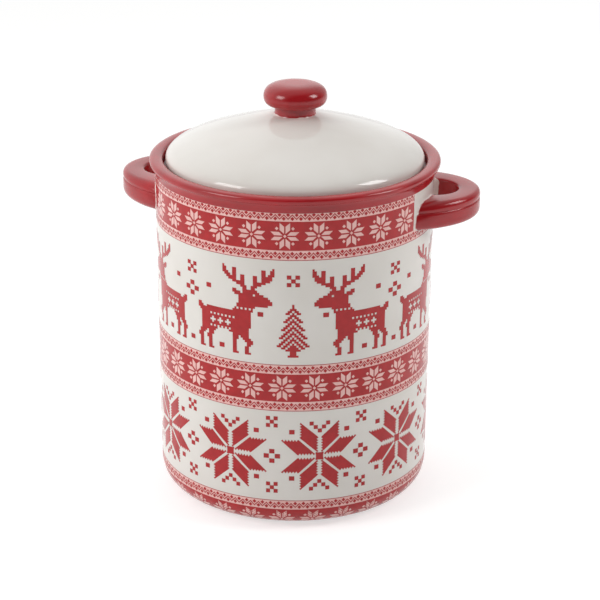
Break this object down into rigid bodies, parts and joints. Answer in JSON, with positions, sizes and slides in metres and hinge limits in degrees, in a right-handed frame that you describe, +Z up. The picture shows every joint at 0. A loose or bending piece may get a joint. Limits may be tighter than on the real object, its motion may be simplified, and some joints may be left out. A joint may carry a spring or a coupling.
{
  "type": "ceramic canister",
  "caption": "Round glazed ceramic storage canister with a rolled rim, loop handles and a domed lift-off lid with a knob, for dry food on a kitchen shelf.",
  "frame": {"origin": "centre of the pot's axis on the plane that the foot stands on", "axes": "+Z up along the pot's axis, X across the two handles, -Y the front"},
  "size_m": [0.1876, 0.148, 0.2155],
  "materials": {
    "white_glaze": "gloss white glaze on white earthenware",
    "red_glaze": "gloss red glaze on white earthenware",
    "bare_clay": "unglazed, wiped foot"
  },
  "bodies": {
    "pot": {"canister_body": "white_glaze", "foot_ring": "bare_clay", "rim_collar": "red_glaze", "handle_left": "red_glaze", "handle_right": "red_glaze"},
    "lid": {"lid_shell": "white_glaze", "lid_locating_ring": "white_glaze", "lid_knob": "red_glaze"}
  },
  "joints": [
    {"name": "lid_lift", "type": "slide", "parent": "pot", "child": "lid", "axis": [0, 0, 1], "range_m": [0, 0.12]}
  ]
}
